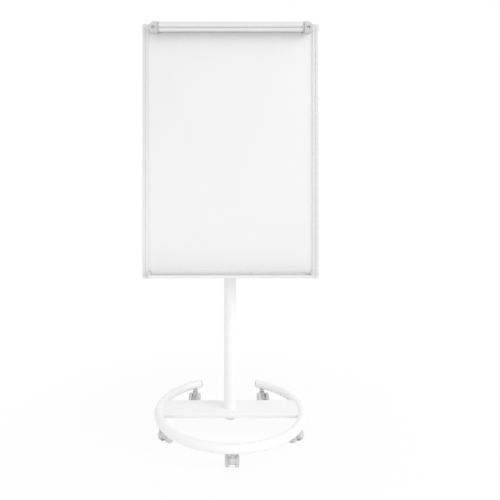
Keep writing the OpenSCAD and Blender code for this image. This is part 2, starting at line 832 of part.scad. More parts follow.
module frame_rail_left() { color("silver") side_rail(); }
module frame_rail_right() { color("silver") mirror([1, 0, 0]) side_rail(); }
module frame_rail_bottom() {
    color("silver") difference() {
        lower_rail();
        tray_screw_places() tray_screw_shank();
    }
}

module frame_rail_top() { color("silver") at_top() lower_rail(); }

// Lower left corner piece: moulded block round the panel's corner, with a spigot into each rail
module frame_corner() {
    fit = 0.2;
    spigot_w = rail_box_w - 2 * rail_wall - 2 * fit;
    spigot_d = rail_d - rail_wall - rail_face_t - 2 * fit;
    translate([-board_w / 2, front_y, board_bottom_z]) {
        difference() {
            translate([0, rail_d, 0]) rotate([90, 0, 0]) linear_extrude(rail_d + corner_proud) difference() {
                square([rail_w, corner_h]);
                difference() {
                    translate([-cut, -cut]) square(corner_r + cut);
                    translate([corner_r, corner_r]) circle(corner_r);
                }
            }
            translate([groove_at, -groove_d, groove_at]) {
                cube([groove_w, 2 * groove_d, corner_h]);
                cube([rail_w, 2 * groove_d, groove_w]);
            }
            translate([rail_box_w, panel_recess, rail_box_w]) cube([rail_w, panel_t, corner_h]);
            translate([rail_box_w + rear_lip_w, panel_recess, rail_box_w + rear_lip_w])
                cube([rail_w, rail_d, corner_h]);
        }
        translate([rail_wall + fit, rail_face_t + fit, corner_h - cut])
            cube([spigot_w, spigot_d, spigot_l + cut]);
        translate([rail_w - cut, rail_face_t + fit, rail_wall + fit])
            cube([spigot_l + cut, spigot_d, spigot_w]);
    }
}

module frame_corners() {
    color("lightgray") both_sides() {
        frame_corner();
        at_top() frame_corner();
    }
}

// ---- pen tray ----

module tray_2d() {
    bead_r = tray_wall;
    front = front_y - tray_depth;
    leg_top_z = board_bottom_z + rail_w + leg_over;
    translate([front_y - tray_wall, tray_z]) square([tray_wall, leg_top_z - tray_z]);
    translate([front_y - tray_wall, leg_top_z - tray_wall]) square([panel_recess + tray_wall, tray_wall]);
    translate([front + bead_r, tray_z]) square([tray_depth - bead_r, tray_wall]);
    for (i = [1 : tray_ribs])
        translate([front + i * tray_depth / (tray_ribs + 1) - tray_rib_w / 2, tray_z])
            square([tray_rib_w, tray_wall + tray_rib_h]);
    translate([front + bead_r, tray_z + bead_r]) circle(bead_r);
    translate([front, tray_z + bead_r]) square([tray_wall, lip_h - 2 * bead_r]);
    translate([front + bead_r, tray_z + lip_h - bead_r]) circle(bead_r);
}

// Shank of a screw from the tray's back leg into the bottom rail
module tray_screw_shank() {
    rotate([-90, 0, 0]) cylinder(r = tray_screw_r, h = tray_wall + panel_recess - 2 * face_gap);
}

module tray_screw_places() {
    for (i = [-1.5 : 1.5])
        translate([i * tray_l / 4, front_y - tray_wall, tray_screw_z]) children();
}

module pen_tray() {
    half = tray_l / 2 - tray_cap_t;
    color("silver") difference() {
        along_x(-half, half) tray_2d();
        tray_screw_places() tray_screw_shank();
    }
}

module tray_screws() {
    head_h = 2;
    color("silver") tray_screw_places() {
        tray_screw_shank();
        rotate([90, 0, 0]) cylinder(r1 = 3.5, r2 = 2, h = head_h);
    }
}

module pen_tray_caps() {
    edge_r = 4;
    front = front_y - tray_depth - 1;
    rise = lip_h + 1;
    back_rise = lip_h + 8;
    color("darkgray") both_sides() along_x(tray_l / 2 - tray_cap_t, tray_l / 2) difference() {
        polygon([
            [front_y, tray_z - 1],
            [front, tray_z - 1],
            [front, tray_z + rise],
            [front_y - tray_depth / 2, tray_z + rise],
            [front_y, tray_z + back_rise]]);
        difference() {
            translate([front - cut, tray_z - 1 - cut]) square(edge_r + cut);
            translate([front + edge_r, tray_z - 1 + edge_r]) circle(edge_r);
        }
    }
}

// ---- pad clamp ----

// Jaw section: barrel along the top, lip roll below it, flange that carries the grip strip
module jaw_2d() {
    difference() {
        union() {
            translate([barrel_y, barrel_z]) circle(barrel_r);
            translate([roll_y, roll_z]) circle(roll_r);
            translate([roll_y, flange_z - jaw_wall / 2])
                square([grip_y + flange_overlap - roll_y, jaw_wall]);
        }
        translate([barrel_y, barrel_z]) circle(barrel_r - barrel_wall);
        translate([roll_y, roll_z]) circle(roll_r - roll_wall);
    }
}

module clamp_jaw() {
    color("silver") along_x(-jaw_half, jaw_half) jaw_2d();
}

// Hinge arm at the jaw's right-hand end: a plug in the barrel, a plate over the section's end and
// an eye behind it for the hinge pin
module jaw_arm() {
    plug_l = 20;
    web_t = 6;
    along_x(jaw_half, arm_out_x) difference() {
        union() {
            link_2d([barrel_y, barrel_z], barrel_r, [roll_y, roll_z], roll_r);
            translate([hinge_y, hinge_z]) circle(eye_r);
            translate([barrel_y, hinge_z - web_t / 2]) square([hinge_y - barrel_y, web_t]);
        }
        translate([hinge_y, hinge_z]) circle(hinge_pin_r + running_fit);
    }
    along_x(jaw_half - plug_l, jaw_half + cut)
        translate([barrel_y, barrel_z]) circle(barrel_r - barrel_wall);
}

module jaw_arms() {
    color("lightgray") both_sides() jaw_arm();
}

module grip_strip() {
    color("dimgray") along_x(-jaw_half, jaw_half) difference() {
        translate([grip_y, flange_z - grip_h / 2]) square([grip_d, grip_h]);
        translate([grip_y - cut, flange_z - jaw_wall / 2]) square([flange_overlap + cut, jaw_wall]);
    }
}

module hinge_pins() {
    color("silver") both_sides() translate([0, hinge_y, hinge_z])
        along_x(hinge_pin_out_x - hinge_pin_l, hinge_pin_out_x) circle(hinge_pin_r);
}

// Closed coil swept round the hinge pin, its last turn against the hinge arm
module jaw_spring() {
    sides = 6;
    per_turn = 12;
    rings = spring_turns * per_turn;
    start = jaw_half - face_gap - wire_d / 2 - spring_l;
    function ring_point(i, k) = let (
        a = i * 360 / per_turn,
        b = k * 360 / sides,
        r = spring_r + wire_d / 2 * cos(b)
    ) [start + spring_l * i / rings + wire_d / 2 * sin(b), r * cos(a), r * sin(a)];
    points = [for (i = [0 : rings], k = [0 : sides - 1]) ring_point(i, k)];
    walls = [for (i = [0 : rings - 1], k = [0 : sides - 1]) [
        i * sides + k, i * sides + (k + 1) % sides,
        (i + 1) * sides + (k + 1) % sides, (i + 1) * sides + k]];
    first_end = [for (k = [sides - 1 : -1 : 0]) k];
    last_end = [for (k = [0 : sides - 1]) rings * sides + k];
    translate([0, hinge_y, hinge_z]) polyhedron(points, concat(walls, [first_end, last_end]));
}

module jaw_springs() {
    color("silver") both_sides() jaw_spring();
}

// Side view of an end bracket: it wraps the barrel and the roll and stands on frame and panel
module clamp_end_2d() {
    barrel_wrap = 2;
    roll_wrap = 5;
    foot = 3;
    translate([barrel_y, barrel_z]) circle(barrel_r + barrel_wrap);
    translate([roll_y, roll_z]) circle(roll_r + roll_wrap);
    translate([barrel_y, rail_edge_z]) square([front_y - barrel_y, barrel_z + barrel_r - rail_edge_z]);
    translate([roll_y, roll_z - foot]) square([sheet_y - roll_y, rail_edge_z - roll_z + foot]);
}

// Front view of the right-hand end bracket: its outer corners are rounded off
module clamp_end_front_2d() {
    high_round = 26;
    low_round = 14;
    low = roll_z - 3 * roll_r;
    high = barrel_z + 2 * barrel_r;
    difference() {
        translate([clamp_end_x, low]) square([clamp_end_w, high - low]);
        translate([clamp_w / 2 - high_round, barrel_z - high_round / 2]) difference() {
            square([high_round + cut, high]);
            circle(high_round);
        }
        translate([clamp_w / 2 - low_round, roll_z + roll_r / 5]) difference() {
            translate([0, -high]) square([low_round + cut, high]);
            circle(low_round);
        }
    }
}

// Shank hole of the screw that holds the right-hand end bracket to the panel
module clamp_screw_hole() {
    translate([clamp_screw_x, clamp_screw_seat_y, clamp_screw_z]) rotate([-90, 0, 0])
        cylinder(r = clamp_screw_r, h = clamp_screw_end_y - clamp_screw_seat_y);
}

module clamp_end() {
    recess_start_y = roll_y - 2 * roll_r;
    difference() {
        intersection() {
            along_x(clamp_end_x, clamp_w / 2) clamp_end_2d();
            translate([0, front_y + rail_d, 0]) rotate([90, 0, 0]) linear_extrude(4 * rail_d)
                clamp_end_front_2d();
        }
        translate([0, hinge_y, hinge_z]) along_x(clamp_end_x - cut, hinge_pin_out_x) circle(hinge_pin_r);
        translate([clamp_screw_x, recess_start_y, clamp_screw_z]) rotate([-90, 0, 0])
            cylinder(r = clamp_screw_head_r + 2.5, h = clamp_screw_seat_y - recess_start_y);
        clamp_screw_hole();
    }
}

module clamp_end_right() { color("gray") clamp_end(); }
module clamp_end_left() { color("gray") mirror([1, 0, 0]) clamp_end(); }

module clamp_screws() {
    head_h = 3;
    color("silver") both_sides() {
        clamp_screw_hole();
        translate([clamp_screw_x, clamp_screw_seat_y - head_h, clamp_screw_z]) rotate([-90, 0, 0])
            cylinder(r = clamp_screw_head_r, h = head_h);
    }
}

// Peg rail: a shallow channel on the top rail's inner band, its lips over the pegs' feet
module peg_rail() {
    slot = 2 * peg_neck_r + 2 * face_gap;
    front = front_y - peg_rail_d;
    bottom = peg_rail_top_z - peg_rail_h;
    color("silver") along_x(-clamp_end_x, clamp_end_x) difference() {
        translate([front, bottom]) square([peg_rail_d + band_step, peg_rail_h]);
        translate([front + peg_rail_lip, bottom + peg_rail_wall])
            square([peg_rail_floor_y - front - peg_rail_lip, peg_rail_h - 2 * peg_rail_wall]);
        translate([front - cut, peg_rail_z - slot / 2]) square([peg_rail_lip + 2 * cut, slot]);
    }
}

module pad_peg() {
    foot_y = front_y - peg_rail_d + peg_rail_lip + face_gap;
    foot_t = peg_rail_floor_y - face_gap - foot_y;
    foot_h = peg_rail_h - 2 * peg_rail_wall - 2 * face_gap;
    tip = 0.8;
    neck = peg_rail_lip + 2 * face_gap + foot_t / 2;
    shank = peg_out - face_gap - tip;
    translate([peg_x - peg_foot_l / 2, foot_y, peg_rail_z - foot_h / 2]) cube([peg_foot_l, foot_t, foot_h]);
    translate([peg_x, foot_y + foot_t / 2, peg_rail_z]) rotate([90, 0, 0]) {
        cylinder(r = peg_neck_r, h = neck + cut);
        translate([0, 0, neck]) cylinder(r = peg_r, h = shank);
        translate([0, 0, neck + shank]) cylinder(r1 = peg_r, r2 = peg_r - tip, h = tip);
    }
}

module pad_peg_right() { color("dimgray") pad_peg(); }
module pad_peg_left() { color("dimgray") mirror([1, 0, 0]) pad_peg(); }

base_ring();
ring_end_plugs();
crossbar();
castor_sockets();
castor_stems();
outer_column();
foot_plug();
foot_knob();
clamp_collar();
height_knob();
inner_column();
guide_bush();
tilt_head();
tilt_bolt();
tilt_knob();
board_bracket();
bracket_bolts();
cross_rails();
writing_sheet();
panel_core();
back_sheet();
frame_rail_left();
frame_rail_right();
frame_rail_top();
frame_rail_bottom();
frame_corners();
pen_tray();
pen_tray_caps();
tray_screws();
clamp_jaw();
jaw_arms();
grip_strip();
hinge_pins();
jaw_springs();
clamp_end_left();
clamp_end_right();
clamp_screws();
peg_rail();
pad_peg_left();
pad_peg_right();
front_castor_housing();
front_castor_axle();
front_castor_wheel_left();
front_castor_wheel_right();
front_right_castor_housing();
front_right_castor_axle();
front_right_castor_wheel_left();
front_right_castor_wheel_right();
back_right_castor_housing();
back_right_castor_axle();
back_right_castor_wheel_left();
back_right_castor_wheel_right();
back_left_castor_housing();
back_left_castor_axle();
back_left_castor_wheel_left();
back_left_castor_wheel_right();
front_left_castor_housing();
front_left_castor_axle();
front_left_castor_wheel_left();
front_left_castor_wheel_right();
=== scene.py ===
import json
import math

import bpy
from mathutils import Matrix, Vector


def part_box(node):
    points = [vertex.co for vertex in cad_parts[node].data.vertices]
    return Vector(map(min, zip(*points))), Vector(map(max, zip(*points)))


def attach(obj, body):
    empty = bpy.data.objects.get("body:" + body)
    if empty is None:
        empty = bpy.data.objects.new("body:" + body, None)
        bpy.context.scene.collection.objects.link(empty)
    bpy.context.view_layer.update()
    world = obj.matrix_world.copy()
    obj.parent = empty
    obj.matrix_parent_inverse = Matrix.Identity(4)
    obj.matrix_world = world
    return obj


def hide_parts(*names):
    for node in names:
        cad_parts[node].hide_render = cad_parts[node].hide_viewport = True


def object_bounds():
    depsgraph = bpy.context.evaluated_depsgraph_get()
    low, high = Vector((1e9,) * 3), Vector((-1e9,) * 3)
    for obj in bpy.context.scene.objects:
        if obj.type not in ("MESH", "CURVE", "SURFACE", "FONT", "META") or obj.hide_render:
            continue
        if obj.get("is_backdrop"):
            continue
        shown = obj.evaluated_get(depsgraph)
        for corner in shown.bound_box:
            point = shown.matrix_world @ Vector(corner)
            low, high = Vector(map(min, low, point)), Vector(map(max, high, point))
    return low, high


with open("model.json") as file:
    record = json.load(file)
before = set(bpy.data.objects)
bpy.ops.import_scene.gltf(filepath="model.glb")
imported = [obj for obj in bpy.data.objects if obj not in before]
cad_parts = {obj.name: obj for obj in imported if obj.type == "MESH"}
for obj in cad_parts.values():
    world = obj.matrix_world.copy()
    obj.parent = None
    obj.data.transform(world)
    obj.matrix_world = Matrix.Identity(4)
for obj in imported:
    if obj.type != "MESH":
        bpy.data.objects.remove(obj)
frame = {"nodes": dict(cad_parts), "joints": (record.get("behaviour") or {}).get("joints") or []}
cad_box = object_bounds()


# ---- Camera ----
# Eye level is a little under the middle of the board, straight ahead of the easel and a touch to
# its left. The camera is level, so the column and the frame stay upright.

camera_place = Vector((-0.050, -1.840, 0.935))
camera_lens = 32.04

camera = bpy.data.objects.new("camera", bpy.data.cameras.new("camera"))
bpy.context.scene.collection.objects.link(camera)
camera.location = camera_place
camera.rotation_euler = (math.radians(90), 0, 0)
camera.data.lens = camera_lens
camera.data.sensor_width = 36
camera.data.shift_x = 0.064
camera.data.shift_y = -0.096
camera.data.clip_end = 60
bpy.context.scene.camera = camera
bpy.context.scene.view_settings.view_transform = "Standard"


# ---- Studio ----
# A pale seamless floor under an even white surround, with one broad soft lamp high at the right and a
# weaker one low in front. The easel's contact shadows stay on the floor.

floor_half = 14.0
paper_level = 0.95
white_near = 0.90  # how far the paper beside the easel shows as plain white
shadow_reach = (0.45, 1.3)  # distances between which the last shadow fades out
ambient = 0.81
lamp_aim = Vector((0, 0, 0.8))


class Wire:
    """An output socket of a finish. Sums on it add Math nodes to the same finish."""

    def __init__(self, socket):
        self.socket = socket

    def node(self, kind, settings={}, inputs={}, output=0):
        """Any other node: its settings first, then the values or links of its inputs."""
        made = self.socket.id_data.nodes.new(kind)
        for name, value in settings.items():
            setattr(made, name, value)
        plug(made, inputs)
        return Wire(made.outputs[output])

    def math(self, operation, a, b=0.0):
        return self.node("ShaderNodeMath", {"operation": operation}, {0: a, 1: b})

    def __add__(self, other):
        return self.math("ADD", self, other)

    def __rsub__(self, other):
        return self.math("SUBTRACT", other, self)

    def __mul__(self, other):
        return self.math("MULTIPLY", self, other)

    __radd__ = __add__
    __rmul__ = __mul__

    def tint(self, low, high):
        """The colour low where this is 0, and high where it is 1."""
        return self.node("ShaderNodeMix", {"data_type": "RGBA"}, {0: self, 6: low, 7: high}, 2)

    def noise(self, scale, detail=3.0, stretch=(1, 1, 1)):
        """Noise at this place, with its lumps 1 / scale across, drawn out along each axis."""
        place = self.node("ShaderNodeMapping", {}, {"Vector": self, "Scale": stretch})
        return place.node("ShaderNodeTexNoise", {}, {"Vector": place, "Scale": scale, "Detail": detail})

    def ramp(self, low, high):
        """0 below low, 1 above high, and a smooth step between."""
        span = {"interpolation_type": "SMOOTHSTEP"}
        return self.node("ShaderNodeMapRange", span, {"Value": self, "From Min": low, "From Max": high})


def plug(node, inputs):
    """Sets the inputs of a node to values or links them to wires."""
    for name, value in inputs.items():
        if isinstance(value, Wire):
            node.id_data.links.new(value.socket, node.inputs[name])
        else:
            node.inputs[name].default_value = value


def grey(level, warmth=0.0):
    """A grey of this linear level, a little warmer or, below 0, cooler."""
    return (level * (1 + warmth), level, level * (1 - warmth), 1)


floor_corners = [(x * floor_half, y * floor_half, 0) for x, y in ((-1, -1), (1, -1), (1, 1), (-1, 1))]
floor_mesh = bpy.data.meshes.new("studio_floor")
floor_mesh.from_pydata(floor_corners, [], [(0, 1, 2, 3)])
studio_floor = bpy.data.objects.new("studio_floor", floor_mesh)
bpy.context.scene.collection.objects.link(studio_floor)
studio_floor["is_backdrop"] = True

floor_paper = bpy.data.materials.new("floor_paper")
floor_paper.use_nodes = True
floor_nodes = floor_paper.node_tree.nodes
ray = floor_nodes.new("ShaderNodeLightPath")
seen = Wire(ray.outputs["Is Camera Ray"]) + Wire(ray.outputs["Is Glossy Ray"])
place = Wire(floor_nodes.new("ShaderNodeTexCoord").outputs["Object"])
away = place.node("ShaderNodeVectorMath", {"operation": "LENGTH"}, {0: place}, "Value")
white = white_near + (1 - white_near) * away.ramp(*shadow_reach)
matt = seen.node("ShaderNodeBsdfDiffuse", {}, {"Color": grey(paper_level)})
lit = seen.node("ShaderNodeEmission", {}, {"Color": grey(1), "Strength": 1.0})
floor_mix = seen.node("ShaderNodeMixShader", {}, {0: seen * white, 1: matt, 2: lit})
plug(floor_nodes["Material Output"], {"Surface": floor_mix})
floor_nodes.remove(floor_nodes["Principled BSDF"])
floor_mesh.materials.append(floor_paper)

surround = bpy.data.worlds.new("surround")
surround.use_nodes = True
bpy.context.scene.world = surround
world_nodes = surround.node_tree.nodes
ray = world_nodes.new("ShaderNodeLightPath")
seen = Wire(ray.outputs["Is Camera Ray"]) + Wire(ray.outputs["Is Glossy Ray"])
plug(world_nodes["Background"], {"Color": grey(1), "Strength": seen * (1 - ambient) + ambient})

lamps = {  # the place of each square lamp, its side and its power
    "lamp_right": ((3.0, -1.7, 2.7), 2.2, 42),
    "lamp_low": ((-0.6, -3.6, 0.2), 2.4, 17),
}
for name, (place, size, power) in lamps.items():
    lamp = bpy.data.objects.new(name, bpy.data.lights.new(name, "AREA"))
    bpy.context.scene.collection.objects.link(lamp)
    lamp.data.shape = "SQUARE"
    lamp.data.size = size
    lamp.data.energy = power
    lamp.location = place
    lamp.rotation_euler = (lamp_aim - lamp.location).to_track_quat("-Z", "Y").to_euler()


# ---- Powder-coated steel: ring, crossbar and column ----
# The ring is one bent tube, and the crossbar is folded sheet welded between its sides. All of it is
# sprayed with the same fine-textured white powder, which lies a little thicker in places.


def finish(name):
    """A new material, its shader, and the place of each point in metres."""
    material = bpy.data.materials.new(name)
    material.use_nodes = True
    nodes = material.node_tree.nodes
    place = Wire(nodes.new("ShaderNodeTexCoord").outputs["Object"])
    return material, nodes["Principled BSDF"], place


def relief(height, depth, edge=0.0006):
    """A normal for a surface that rises and falls by depth, its sharp edges broken by a radius."""
    edges = height.node("ShaderNodeBevel", {"samples": 4}, {"Radius": edge})
    settings = {"Height": height, "Distance": depth, "Strength": 1.0, "Normal": edges}
    return height.node("ShaderNodeBump", {}, settings)


def coat(names, material):
    """Puts one finish on these CAD nodes."""
    for name in names:
        for place in frame["nodes"][name].material_slots:
            place.material = material


def powder(name, level):
    """Powder coat of this grey: a fine speckle, and a cloud where it lies thicker."""
    material, shader, place = finish(name)
    speckle = place.noise(scale=900, detail=2)
    cloud = place.noise(scale=3.0, detail=3)
    plug(shader, {
        "Base Color": cloud.tint(grey(level * 0.985), grey(level * 1.01)),
        "Roughness": 0.36 + 0.10 * cloud,
        "Normal": relief(speckle, depth=0.00012)})
    return material


white_powder = powder("white_powder", 0.97)
coat(["base_ring", "crossbar", "outer_column", "inner_column"], white_powder)


# ---- Weld beads ----
# Where the crossbar meets the ring, a bead of weld runs along its top and down both folded sides.
# It is laid in short overlapping ripples and coated with the rest.

bead_r = 0.0022
ripple = 0.0045
bead_mean, bead_swing = 0.82, 0.18
bead_step = ripple / 5
bar_bend_r = 0.004
bend_steps = 7
off_path = Vector((0.31, 0.17, 0.94))  # no stretch of a bead runs this way


def piece(name, points, faces, material, body, smooth=True):
    """A mesh in the easel's own frame that moves with a body and takes its finish from a slot."""
    mesh = bpy.data.meshes.new(name)
    mesh.from_pydata([tuple(p) for p in points], [], faces)
    mesh.materials.append(material)
    for face in mesh.polygons:
        face.use_smooth = smooth
    made = bpy.data.objects.new(name, mesh)
    bpy.context.scene.collection.objects.link(made)
    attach(made, body)
    return made


def swept(path, radius, sides=10):
    """Points and faces of a rod along a path. radius is a function of the distance along it."""
    points, faces = [], []
    travelled = 0.0
    for i, here in enumerate(path):
        ahead = (path[min(i + 1, len(path) - 1)] - path[max(i - 1, 0)]).normalized()
        across = ahead.cross(off_path).normalized()
        up = across.cross(ahead)
        if i:
            travelled += (here - path[i - 1]).length
        for k in range(sides):
            turn = 2 * math.pi * k / sides
            points.append(here + radius(travelled) * (math.cos(turn) * across + math.sin(turn) * up))
    for i in range(len(path) - 1):
        for k in range(sides):
            a, b = i * sides + k, i * sides + (k + 1) % sides
            faces.append((a, b, b + sides, a + sides))
    faces.append(tuple(range(sides))[::-1])
    faces.append(tuple(range(len(points) - sides, len(points))))
    return points, faces


ring_low, ring_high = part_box("base_ring")
tube_r = (ring_high.z - ring_low.z) / 2
ring_r = ring_high.x - tube_r
ring_z = (ring_high.z + ring_low.z) / 2
bar_low, bar_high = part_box("crossbar")


def on_ring(y, z):
    """The point on the ring's inner side, at the right, with this y and z."""
    out = ring_r - math.sqrt(max(tube_r ** 2 - (z - ring_z) ** 2, 0))
    return Vector((math.sqrt(out ** 2 - y ** 2), y, z))


def bead_size(distance):
    """The radius of the bead at this distance along it."""
    return bead_r * (bead_mean + bead_swing * math.cos(2 * math.pi * distance / ripple))


bar_half = bar_high.y
bend_y, bend_z = bar_half - bar_bend_r, bar_high.z - bar_bend_r
rise = [(bar_half, bar_low.z + bead_step * i) for i in range(int((bend_z - bar_low.z) / bead_step))]
bend = [(bend_y + bar_bend_r * math.cos(t), bend_z + bar_bend_r * math.sin(t))
        for t in (math.pi / 2 * i / bend_steps for i in range(bend_steps + 1))]
over = [(bend_y - bead_step * i, bar_high.z) for i in range(1, int(2 * bend_y / bead_step))]
bead_path = [on_ring(y, z) for y, z in rise + bend + over]
bead_path += [on_ring(-y, z) for y, z in reversed(rise + bend)]
for side, sign in (("right", 1), ("left", -1)):
    path = [Vector((sign * p.x, p.y, p.z)) for p in bead_path]
    bead_points, bead_faces = swept(path, bead_size)
    piece(f"weld_bead_{side}", bead_points, bead_faces, white_powder, "base")


# ---- Ring end plugs and castor sockets ----
# Moulded polyethylene. A darker plug closes each open end of the ring, and a socket lines each of the
# five holes in the tube's underside. The hinge arms in the ends of the clamp's jaw are the same grey.


def moulded(name, level, grain=0.00008, roughness=0.42):
    """Moulded plastic of this grey: a pitted surface as deep as the grain, a little uneven in shine."""
    material, shader, place = finish(name)
    pits = place.noise(scale=1600, detail=2)
    wipe = place.noise(scale=14, detail=4)
    plug(shader, {
        "Base Color": wipe.tint(grey(level * 0.95), grey(level * 1.04)),
        "Roughness": roughness + 0.16 * wipe,
        "Normal": relief(pits, depth=grain)})
    return material


mid_grey_moulding = moulded("mid_grey_moulding", 0.56)
coat(["castor_sockets", "jaw_arms"], mid_grey_moulding)
plug_moulding = moulded("plug_moulding", 0.30)
coat(["ring_end_plugs"], plug_moulding)


# ---- Castors ----
# Twin-wheel castors: a housing and two wheels of grey nylon on a steel axle, turning on a plated
# stem. The treads are scuffed and a little dusty where they meet the floor.

castors = ["front", "front_right", "back_right", "back_left", "front_left"]


def nylon(name, level):
    """Nylon of this grey, with scuffs that gather dust from the height of the axle down."""
    material, shader, place = finish(name)
    pits = place.noise(scale=1200, detail=2)
    marks = place.noise(scale=160, detail=5, stretch=(1, 1, 3)).ramp(0.52, 0.74)
    height = place.node("ShaderNodeSeparateXYZ", {}, {0: place}, "Z")
    low_down = 1 - height.ramp(0.004, 0.03)
    dust = (low_down * 0.6 + 0.25) * marks
    plug(shader, {
        "Base Color": dust.tint(grey(level), grey(level * 1.35, 0.02)),
        "Roughness": 0.34 + 0.3 * dust,
        "Normal": relief(pits, depth=0.00006, edge=0.0008)})
    return material


castor_nylon = nylon("castor_nylon", 0.68)
coat([f"{c}_castor_housing" for c in castors], castor_nylon)
coat([f"{c}_castor_wheel_{side}" for c in castors for side in ("left", "right")], castor_nylon)


# ---- Plated steel ----
# Stems, axles, bolts, pins, springs, screws and the two cross rails are zinc-plated. The plating is
# bright, with a faint brushed grain and a few dull patches.


def plated(name, level):
    """Zinc plating of this brightness, its grain drawn out along Z."""
    material, shader, place = finish(name)
    grain = place.noise(scale=700, detail=3, stretch=(1, 1, 0.08))
    dull = place.noise(scale=45, detail=3).ramp(0.45, 0.75)
    plug(shader, {
        "Base Color": dull.tint(grey(level), grey(level * 0.93, 0.01)),
        "Metallic": 1.0,
        "Roughness": 0.28 + 0.10 * grain + 0.05 * dull,
        "Normal": relief(grain, depth=0.00003, edge=0.0003)})
    return material


zinc = plated("zinc", 0.80)
coat(["castor_stems", "tilt_bolt", "cross_rails", "hinge_pins", "jaw_springs"], zinc)
coat([f"{c}_castor_axle" for c in castors], zinc)


# ---- Wheel caps and webs ----
# A small pressed cap of the same nylon closes the dish in the middle of each wheel's outer face, and
# a moulded web closes the hollow of its inner face, a little below the rim.

cap_r = 0.0068
cap_rise = 0.0010
cap_sunk = 0.0012
cap_edge = 0.0006
cap_shoulder = 0.6
dish_top, dish_floor = 0.55, 0.5
web_hole_r = 0.0062
web_r = 0.0202
web_sunk = 0.0016
web_t = 0.0012


def directions(axis):
    """A unit vector along an axis, and two across it."""
    axis = Vector(axis).normalized()
    across = axis.orthogonal().normalized()
    return axis, across, axis.cross(across)


def turned(outline, centre, axis, steps):
    """Points and faces of a turned shape. The outline is (radius, height) from the axis to the axis."""
    axis, across, up = directions(axis)
    points, rows = [], []
    for radius, height in outline:
        count = 1 if radius == 0 else steps
        rows.append(range(len(points), len(points) + count))
        for k in range(count):
            turn = 2 * math.pi * k / steps
            points.append(Vector(centre) + height * axis
                          + radius * (math.cos(turn) * across + math.sin(turn) * up))
    faces = []
    for low, high in zip(rows, rows[1:]):
        for k in range(steps):
            corners = [low[k % len(low)], low[(k + 1) % len(low)],
                       high[(k + 1) % len(high)], high[k % len(high)]]
            faces.append(tuple(dict.fromkeys(corners)))
    return points, faces


def hoop(hole_r, rim_r, start, thickness, centre, axis, steps=40):
    """Points and faces of a flat ring, its first face at start along the axis."""
    axis, across, up = directions(axis)
    corners = ((hole_r, start), (rim_r, start), (rim_r, start + thickness), (hole_r, start + thickness))
    points = [Vector(centre) + height * axis + radius * (math.cos(turn) * across + math.sin(turn) * up)
              for turn in (2 * math.pi * k / steps for k in range(steps)) for radius, height in corners]
    faces = []
    for k in range(steps):
        here, there = 4 * k, 4 * ((k + 1) % steps)
        for c in range(4):
            d = (c + 1) % 4
            faces.append((here + c, there + c, there + d, here + d))
    return points, faces


for castor in castors:
    axle_low, axle_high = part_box(f"{castor}_castor_axle")
    middle = (axle_low + axle_high) / 2
    for side in ("left", "right"):
        wheel_low, wheel_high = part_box(f"{castor}_castor_wheel_{side}")
        out = (wheel_low + wheel_high) / 2 - middle
        out.z = 0
        joint = next(j for j in frame["joints"] if j["name"] == f"{castor}_castor_{side}_wheel_roll")
        along = Vector(joint["axis"]) * (1 if out.dot(Vector(joint["axis"])) > 0 else -1)
        reach = [(Vector(v.co) - middle).dot(along)
                 for v in frame["nodes"][f"{castor}_castor_wheel_{side}"].data.vertices]
        seat = max(reach) - cap_sunk
        shoulder, top = seat + cap_rise * cap_shoulder, seat + cap_rise
        cap = turned([(0, seat), (cap_r, seat), (cap_r, shoulder), (cap_r - cap_edge, top),
                      (cap_r * dish_top, top), (cap_r * dish_floor, shoulder), (0, shoulder)],
                     middle, along, 32)
        web = hoop(web_hole_r, web_r, min(reach) + web_sunk, web_t, middle, along)
        for kind, (points, faces) in (("cap", cap), ("web", web)):
            piece(f"{castor}_wheel_{kind}_{side}", points, faces, castor_nylon,
                  f"{castor}_castor_{side}_wheel", smooth=False)


# ---- Screws and bolts ----
# Pan-head screws with a cross recess hold the clamp brackets and the pen tray, and four button-head
# bolts hold the bracket to the cross rails.

dome_foot = 0.35  # the share of a pan head's height below its dome
recess_depth, recess_reach, recess_half = 0.62, 0.56, 0.12
recess_taper = 0.55
socket_floor, socket_reach = 0.35, 0.4


def carved(points, faces, cutters):
    """The mesh left when these cutters are taken out of a closed shape."""
    def solid(name, points, faces):
        mesh = bpy.data.meshes.new(name)
        mesh.from_pydata([tuple(p) for p in points], [], faces)
        made = bpy.data.objects.new(name, mesh)
        bpy.context.scene.collection.objects.link(made)
        return made

    body = solid("blank", points, faces)
    for cutter_points, cutter_faces in cutters:
        cutter = solid("cutter", cutter_points, cutter_faces)
        take = body.modifiers.new("take", "BOOLEAN")
        take.operation = "DIFFERENCE"
        take.solver = "EXACT"
        take.object = cutter
    bpy.context.view_layer.update()
    left = body.evaluated_get(bpy.context.evaluated_depsgraph_get()).to_mesh()
    result = [v.co.copy() for v in left.vertices], [tuple(f.vertices) for f in left.polygons]
    for take in list(body.modifiers):
        bpy.data.objects.remove(take.object)
    bpy.data.objects.remove(body)
    return result


def block(centre, axes, halves, taper):
    """Points and faces of a box on these axes, its far end along the first axis drawn in by taper."""
    points = []
    for a in (-1, 1):
        shrink = taper if a > 0 else 1.0
        for b, c in ((-1, -1), (1, -1), (1, 1), (-1, 1)):
            points.append(centre + a * halves[0] * axes[0] + b * halves[1] * shrink * axes[1]
                          + c * halves[2] * shrink * axes[2])
    return points, [(3, 2, 1, 0), (4, 5, 6, 7), (0, 1, 5, 4), (1, 2, 6, 5), (2, 3, 7, 6), (3, 0, 4, 7)]


